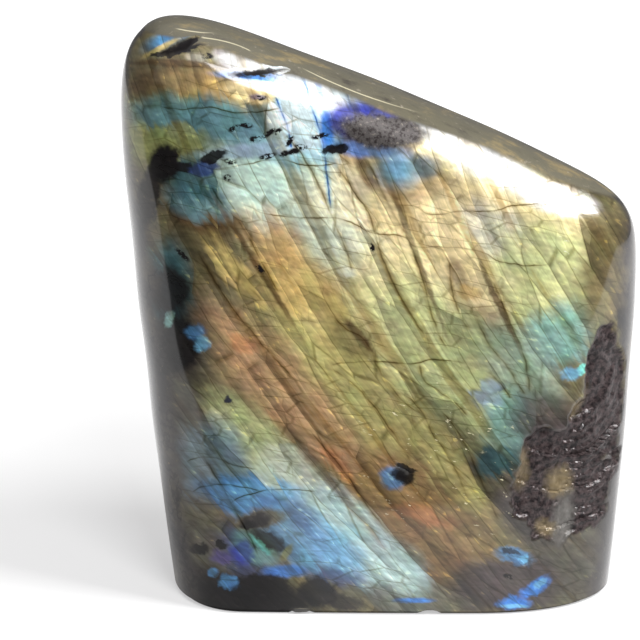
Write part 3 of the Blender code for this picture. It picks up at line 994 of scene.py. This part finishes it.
# ---- places on the front face
def front_place(paint, place):
    """Across and up on the front face, in mm, as one flat vector and as two numbers."""
    view_up = (0.0, math.sin(CAMERA_ELEVATION), math.cos(CAMERA_ELEVATION))
    across = paint.parts(place)[0]
    up = paint.vector("DOT_PRODUCT", place, view_up)
    return paint.place(across, up), across, up


def cleavage(paint, across, up):
    """A number that stays the same along the cleavage, which is steeper near the top."""
    return paint.times_plus(paint.times_plus(up, CLEAVAGE_BEND, CLEAVAGE_SLOPE), up, across)


def pushed(paint, flat, colour, reach):
    """The flat vector, pushed by a random colour to either side by half the reach."""
    push = paint.vector("SUBTRACT", colour, (0.5, 0.5, 0.5))
    return paint.vector("ADD", flat, paint.vector("MULTIPLY", push, (reach, reach, 0.0)))


def warped(paint, flat, place, steps):
    """The flat vector, pushed about by noise of several sizes."""
    for index, (size, reach, detail) in enumerate(steps, 1):
        flat = pushed(paint, flat, paint.noise(place, size, detail, shift=WARP_SHIFT * index, colour=True),
                      2.0 * reach)
    return flat


def plates(paint, grain, cross, wide, long, shift=0.0):
    """Cleavage plates of one size: each one's colour, its painted slope of light and shade plus its own
    tone, and how near its edge is.
    """
    vector = paint.place(paint.times_plus(grain, 1.0 / wide, shift), paint.maths("DIVIDE", cross, long))
    sockets = {"Vector": vector, "Scale": 1.0, "Randomness": PLATE_RANDOMNESS}
    nearest = paint.add("ShaderNodeTexVoronoi", sockets, voronoi_dimensions="2D").outputs
    cell = nearest["Color"]
    edge = paint.add("ShaderNodeTexVoronoi", sockets, voronoi_dimensions="2D",
                     feature="DISTANCE_TO_EDGE").outputs["Distance"]
    local = paint.vector("SUBTRACT", vector, nearest["Position"])
    slope = paint.vector("DOT_PRODUCT", local, paint.vector("MULTIPLY_ADD", cell, *PLATE_SHADE_TILT))
    return Plates(cell, paint.times_plus(paint.parts(cell)[2], PLATE_STEP, slope), edge)


class Face:
    """What the layers of the front face share: places, cleavage, plates, streaks and the fields' edges."""

    def __init__(self, paint, place):
        self.place = place
        self.flat, _, self.height = front_place(paint, place)
        self.across, self.up = paint.parts(warped(paint, self.flat, place, CLEAVAGE_WARP))[:2]
        self.grain = cleavage(paint, self.across, self.up)
        self.cross = paint.times_plus(self.across, CROSS_SLOPE, self.up)
        self.coarse = plates(paint, self.grain, self.cross, *COARSE_PLATES)
        self.fine = plates(paint, self.grain, self.cross, *FINE_PLATES)
        self.streak = paint.streaks(self.grain, self.up, "brown")
        self.strand = paint.streaks(self.grain, self.up, "strand")
        self.edges = self.field_edges(paint)

    def field_edges(self, paint):
        """The place on the face as each kind of field sees it, pushed about to roughen its edge."""
        slide = paint.minus(self.strand, 0.5)
        slid = paint.place(paint.times(slide, STRAND_REACH[0]), paint.times(slide, STRAND_REACH[1]))
        slid = paint.vector("ADD", self.flat, slid)
        for cell, reach in ((self.coarse.cell, COARSE_REACH), (self.fine.cell, FINE_REACH)):
            slid = pushed(paint, slid, cell, reach)
        starts = {BROAD: slid, TORN: self.flat, CALM: self.flat}
        return {edge: warped(paint, starts[edge], self.place, steps) for edge, steps in EDGE_WARPS.items()}


# ---- layers of the front face
def flash_colour(paint, face):
    """The fields of flash and the marks on them, with clouds of slightly different hue."""
    colour = paint.mix(linear("ground"), linear("olive"), face.streak)
    for fields in ([(BROAD, *field) for field in FIELDS], MARKS):
        colour = lay_fields(paint, colour, face.edges, fields)
    hue = paint.noise(face.place, *NOISES["hue"], colour=True)
    return paint.mix(colour, paint.mix(MID_GREY, hue, HUE_RANGE), HUE_SHARE, "OVERLAY")


def painted_wrinkle_shade(paint, face):
    """Painted light and shade: an emboss of the wrinkles that cross the plates, light on one side and dark
    on the other.
    """
    wrinkles = []
    for step in (0.0, WRINKLE_STEP):
        place = paint.place(paint.times(face.grain, WRINKLE_SCALES[0]),
                            paint.times_plus(face.cross, WRINKLE_SCALES[1], step))
        wrinkles.append(paint.noise(place, 1.0, *WRINKLES, flat=True))
    return paint.minus(*wrinkles)


def plate_shade(paint, face, wrinkle_shade):
    """How dark or bright each place is: painted light and shade across the plates and their wrinkles, times
    each plate's own tone and the strands' streaks.
    """
    shade = paint.span(face.coarse.slope, "coarse shade", "LINEAR")
    for value, name in ((face.fine.slope, "fine"), (wrinkle_shade, "wrinkle"), (face.strand, "strand")):
        shade = paint.times(shade, paint.span(value, name + " shade", "LINEAR"))
    return shade


def net(paint, colour, edge, shown, widths, shares):
    """Fine dark lines along the edges of the plates, where they show."""
    line = paint.times(paint.ramp(edge, *widths), paint.ramp(shown, *shares))
    return paint.mix(colour, CRACK_TINT, line, "MULTIPLY")


def lay_nets(paint, face, wrinkle_shade, colour):
    """Nets of fine cracks of three sizes, and painted highlights on the lit sides of the plates and wrinkles
    beside them.
    """
    shown = paint.grain(face.place, "nets")
    colour = net(paint, colour, face.coarse.edge, shown, *COARSE_NET)
    colour = net(paint, colour, face.fine.edge, shown, *FINE_NET)
    # painted highlight: cream where a fine plate and a wrinkle both face the painted light
    bright = paint.times(paint.span(face.fine.slope, "bright plates"), paint.span(wrinkle_shade, "bright wrinkles"))
    colour = paint.mix(colour, linear("cream"), paint.times(bright, PAINTED_HIGHLIGHT_SHARE), "SOFT_LIGHT")
    level = paint.times_plus(face.across, LEVEL_SLOPE, face.up)
    level_plates = plates(paint, level, face.across, *LEVEL_PLATES)
    return net(paint, colour, level_plates.edge, shown, *LEVEL_NET)


def lay_cracks(paint, face, colour):
    """The listed cracks, and how much each place is cracked."""
    wavy = warped(paint, face.flat, face.place, CRACK_WARP)
    whole = paint.span(paint.grain(face.place, "crack breaks"), "whole cracks")
    cracked = 0.0
    for cracks, steep, widths, shares, tints in CRACK_KINDS:
        for pixels in cracks:
            lines = curved_lines(paint, after(paint, wavy, colour), pixels, steep, widths)
            for line, share, tint in zip(lines, shares, tints):
                line = paint.times(line, paint.times(whole, share))
                colour = paint.mix(colour, tint, line, "MULTIPLY")
            cracked = paint.maths("MAXIMUM", cracked, line)
    return colour, cracked


def lay_specks(paint, face, colour):
    """Little black slots and specks, broken up by noise."""
    specks = [(CALM, "black", x, y, length + SPECK_ENDS, SPECK_HALF_WIDTH, turn, 1.0, 0.6)
              for x, y, length, turn in SPECKS]
    speckled = lay_fields(paint, colour, {CALM: face.edges[CALM]}, specks)
    return paint.mix(colour, speckled, paint.span(paint.grain(face.place, "speck breaks"), "whole specks"))


def lay_pebbles(paint, face, colour):
    """The pebbly inclusion near the top, which takes no polish."""
    pebbles = tinted(paint, linear("shadow"), paint.grain(face.place, "pebbles"), PEBBLE_TINTS)
    return paint.mix(colour, pebbles, field_share(paint, face.edges[TORN], PEBBLE))


def lay_painted_glints(paint, face, colour):
    """Painted glints: gold and white flecks where small fracture faces would catch the light."""
    glint = paint.span(paint.streaks(face.grain, face.cross, "glint"), "glints")
    patch = paint.span(paint.grain(face.place, "glint patches"), "glint patches")
    for zone in PAINTED_GLINT_ZONES:
        share = paint.times(patch, field_share(paint, face.edges[CALM], zone))
        colour = paint.mix(colour, linear(zone[1]), paint.times(glint, share))
    return colour


def face_colour(paint, face):
    """Colour of the polished front face, how much it is cracked, and the shade of its plates."""
    colour = flash_colour(paint, face)
    wrinkle_shade = painted_wrinkle_shade(paint, face)
    shade = plate_shade(paint, face, wrinkle_shade)
    # painted light and shade of the plates laid on the flash
    colour = shaded(paint, colour, shade)
    colour = paint.mix(colour, STREAK_TINT, paint.span(face.streak, "streaks"), "MULTIPLY")
    # painted shade: the face darker towards the base
    colour = paint.mix(colour, LOW_SHADE_TINT, paint.span(face.height, "painted low shade"), "MULTIPLY")
    colour = lay_nets(paint, face, wrinkle_shade, colour)
    colour, cracked = lay_cracks(paint, face, colour)
    for lay in (lay_specks, lay_pebbles, lay_painted_glints):
        colour = lay(paint, face, colour)
    return colour, cracked, shade


# ---- the rest of the stone's material
def side_colour(paint, place):
    """Colour of the ground stone round the flash: grey-brown felspar with darker veins."""
    colour = tinted(paint, linear("black"), paint.grain(place, "side clouds"), SIDE_CLOUD_TINTS)
    colour = tinted(paint, colour, paint.grain(place, "side grit"), SIDE_GRIT_TINTS)
    veins = contour(paint, paint.grain(place, "side veins"), SIDE_VEIN_WIDTH)
    return paint.mix(colour, linear("black"), paint.times(veins, VEIN_SHARE))


def top_colour(paint, place):
    """Colour of the slanting top edge: dark grey-olive with clouds of gold."""
    cloud = paint.grain(paint.vector("MULTIPLY", place, TOP_SCALES), "top clouds")
    colour = tinted(paint, linear("shadow"), cloud, TOP_CLOUD_TINTS)
    return tinted(paint, colour, paint.grain(place, "top grit"), TOP_GRIT_TINTS)


def rough_colour(paint, face):
    """Colour of the broken surface: dark grey-violet with tan crusts."""
    colour = tinted(paint, linear("soot"), paint.grain(face.place, "broken"), BROKEN_TINTS)
    return lay_fields(paint, colour, {TORN: face.edges[TORN]}, CRUSTS)


def back_colour(paint, place, shade):
    """Colour of the back: bands of a dimmer flash along the cleavage in dark stone."""
    _, across, up = front_place(paint, place)
    band = paint.streaks(cleavage(paint, paint.times(across, -1.0), up), up, "back")
    # the front's painted plate shade, laid on the back's bands too
    colour = shaded(paint, tinted(paint, linear("blue"), band, BACK_BANDS), shade)
    cloud = paint.grain(paint.vector("MULTIPLY", place, BACK_CLOUD_SCALES), "back clouds")
    colour = paint.mix(linear("shadow"), colour, paint.span(cloud, "back clouds"))
    veins = contour(paint, paint.grain(place, "back veins"), BACK_VEIN_WIDTH)
    return paint.mix(colour, linear("shadow"), paint.times(veins, VEIN_SHARE))


def zones(paint, place, normal, pitted):
    """How much each place belongs to the top, to the front face and to the back."""
    edge = paint.times_plus(paint.grain(place, "face edge"), FACE_EDGE, -FACE_EDGE / 2)
    edge = paint.minus(edge, paint.span(paint.parts(place)[2], "high up"))
    sideways = paint.plus(paint.maths("ABSOLUTE", normal[0]), edge)
    top = paint.span(paint.times_plus(pitted, -PIT_SLANT, normal[2]), "top")
    broad = paint.times(paint.span(sideways, "broad"), paint.minus(1.0, top))
    front = paint.times(broad, paint.span(normal[1], "front"))
    back = paint.times(broad, paint.span(normal[1], "back"))
    return top, front, back


def lay_highlight_lines(paint, face, normal, colour):
    """Thin bright lines painted along the upper edge as highlights, where it faces the front."""
    flat = front_place(paint, face.place)[0]
    for pixels in HIGHLIGHT_LINES:
        line = curved_lines(paint, after(paint, flat, colour), pixels, False, (HIGHLIGHT_LINE_WIDTH,))[0]
        line = paint.times(line, paint.span(normal[1], "highlight lines"))
        # painted highlight lines in cream
        colour = paint.mix(colour, linear("cream"), line)
    return colour


def surface_height(paint, place, rough, shade):
    """Height of the grain, nearly all of it in the rough hollow, and a faint rise and fall that follows the
    plates' shade.
    """
    grit = paint.grain(place, "grit")
    grit = paint.times_plus(paint.grain(place, "sparkle"), paint.times(rough, SPARKLE), grit)
    grit = paint.times(grit, paint.times_plus(rough, GRIT_ROUGH, GRIT_POLISHED))
    return paint.plus(grit, paint.times(shade, PLATE_RELIEF))


def dullness(paint, face, pitted, cracked):
    """How much of the coat of polish is missing."""
    for field in DULL:
        pitted = paint.maths("MAXIMUM", field_share(paint, face.edges[TORN], field), pitted)
    return paint.times_plus(cracked, CRACK_DULLNESS, pitted)


def stone_material(stone):
    """The skin of the stone: flash on its broad faces, plain stone between them, and a coat of polish."""
    material = bpy.data.materials.new("labradorite_skin")
    paint = Paint(material, Picture(stone))
    coordinates = paint.add("ShaderNodeTexCoord", {}).outputs
    place = paint.scaled(coordinates["Object"], 1.0 / MM)
    normal = paint.parts(coordinates["Normal"])
    rough, chipped, pitted = [paint.add("ShaderNodeAttribute", {}, attribute_name=name).outputs["Fac"]
                              for name in ("rough", "chipped", "pitted")]
    face = Face(paint, place)
    colour, cracked, shade = face_colour(paint, face)
    top, front, back = zones(paint, place, normal, pitted)
    body = paint.mix(side_colour(paint, place), top_colour(paint, place), top)
    body = paint.mix(body, back_colour(paint, place, shade), back)
    colour = lay_highlight_lines(paint, face, normal, paint.mix(body, colour, front))
    colour = paint.mix(colour, rough_colour(paint, face), rough)
    colour = paint.mix(colour, linear("grey"), paint.times(chipped, CHIP_SHARE))
    colour = paint.mix(colour, linear("black"), paint.times(pitted, PIT_SHARE))
    height = surface_height(paint, place, rough, shade)
    dull = dullness(paint, face, pitted, cracked)
    bump = paint.add("ShaderNodeBump", {"Strength": 1.0, "Distance": MM, "Height": height}).outputs[0]
    paint.finish("ShaderNodeOutputMaterial", "ShaderNodeBsdfPrincipled", {
        "Base Color": colour,
        "Metallic": paint.times(front, FLASH_METALLIC),
        "Roughness": paint.times_plus(rough, BROKEN_ROUGHNESS - ROUGHNESS, ROUGHNESS),
        "Normal": bump,
        "Specular IOR Level": SPECULAR,
        "Coat Weight": paint.maths("SUBTRACT", paint.times_plus(rough, -BROKEN_DULLNESS, 1.0), dull,
                                   clamp=True),
        "Coat Roughness": POLISH_ROUGHNESS,
    })
    return material


# ---- the set
FLOOR_CORNERS = ((-0.9, -0.12), (0.9, -0.12), (0.9, 1.2), (-0.9, 1.2))
FLOOR_COLOUR = (0.42, 0.42, 0.42, 1.0)
FLOOR_ROUGHNESS = 0.9
WHITE = (1.0, 1.0, 1.0, 1.0)
GLOW_COLOUR = (1.0, 0.995, 1.0, 1.0)
GLOW = (0.06, 0.34, 0.50, 1.0)  # from near the stone to far from it, its strength
# Softboxes: (name, azimuth and elevation from the stone in degrees, distance, width, height, radiance)
SOFTBOXES = (
    ("key", 16.0, 47.0, 0.72, 0.24, 0.28, 17.0),
    ("right", 68.0, 41.0, 0.70, 0.20, 0.24, 40.0),
    ("fill", -42.0, 34.0, 0.80, 0.45, 0.45, 0.5),
)
# Brightness of the room: from the front round to the sides, and what the ceiling adds
ROOM_SIDES = (-0.80, -0.10, 0.05, 0.16)
ROOM_CEILING = (0.55, 1.0, 0.0, 0.5)


def add_floor():
    """A pale table that glows a little as well, so that shadows on it stay light."""
    material = bpy.data.materials.new("pale_floor")
    paint = Paint(material)
    distance = paint.vector("LENGTH", paint.add("ShaderNodeTexCoord", {}).outputs["Object"])
    paint.finish("ShaderNodeOutputMaterial", "ShaderNodeBsdfPrincipled", {
        "Base Color": FLOOR_COLOUR,
        "Roughness": FLOOR_ROUGHNESS,
        "Specular IOR Level": 0.0,
        "Emission Color": GLOW_COLOUR,
        "Emission Strength": paint.ramp(distance, *GLOW),
    })
    mesh = bpy.data.meshes.new("floor")
    mesh.from_pydata([(x, y, 0.0) for x, y in FLOOR_CORNERS], [], [(0, 1, 2, 3)])
    mesh.materials.append(material)
    place_object("floor", mesh)


def add_softboxes():
    """Soft lamps that all face the stone."""
    for name, azimuth, elevation, distance, width, height, radiance in SOFTBOXES:
        data = bpy.data.lights.new(name, "AREA")
        data.shape, data.size, data.size_y = "RECTANGLE", width, height
        data.energy = radiance * math.pi * width * height
        light = place_object(name, data)
        around, above = math.radians(azimuth), math.radians(elevation)
        level = math.cos(above)
        toward = Vector((math.sin(around) * level, -math.cos(around) * level, math.sin(above)))
        light.location = CAMERA_TARGET + toward * distance
        light.rotation_euler = toward.to_track_quat("Z", "Y").to_euler()


def add_backdrop():
    """White behind the stone, and a dim room in front of it so that the polish stays deep."""
    world = bpy.data.worlds.new("studio")
    paint = Paint(world)
    seen = paint.add("ShaderNodeLightPath", {}).outputs["Is Camera Ray"]
    toward = paint.parts(paint.add("ShaderNodeTexCoord", {}).outputs["Generated"])
    room = paint.plus(paint.ramp(toward[1], *ROOM_SIDES), paint.ramp(toward[2], *ROOM_CEILING))
    strength = paint.maths("MAXIMUM", seen, room)
    paint.finish("ShaderNodeOutputWorld", "ShaderNodeBackground", {"Color": WHITE, "Strength": strength})
    bpy.context.scene.world = world
    bpy.context.scene.view_settings.view_transform = "Standard"


# ---- the scene
stone = build_stone()
stone.data.materials.append(stone_material(stone))
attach(stone, "root")
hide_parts(NODE)
add_floor()
add_softboxes()
add_backdrop()
add_camera()
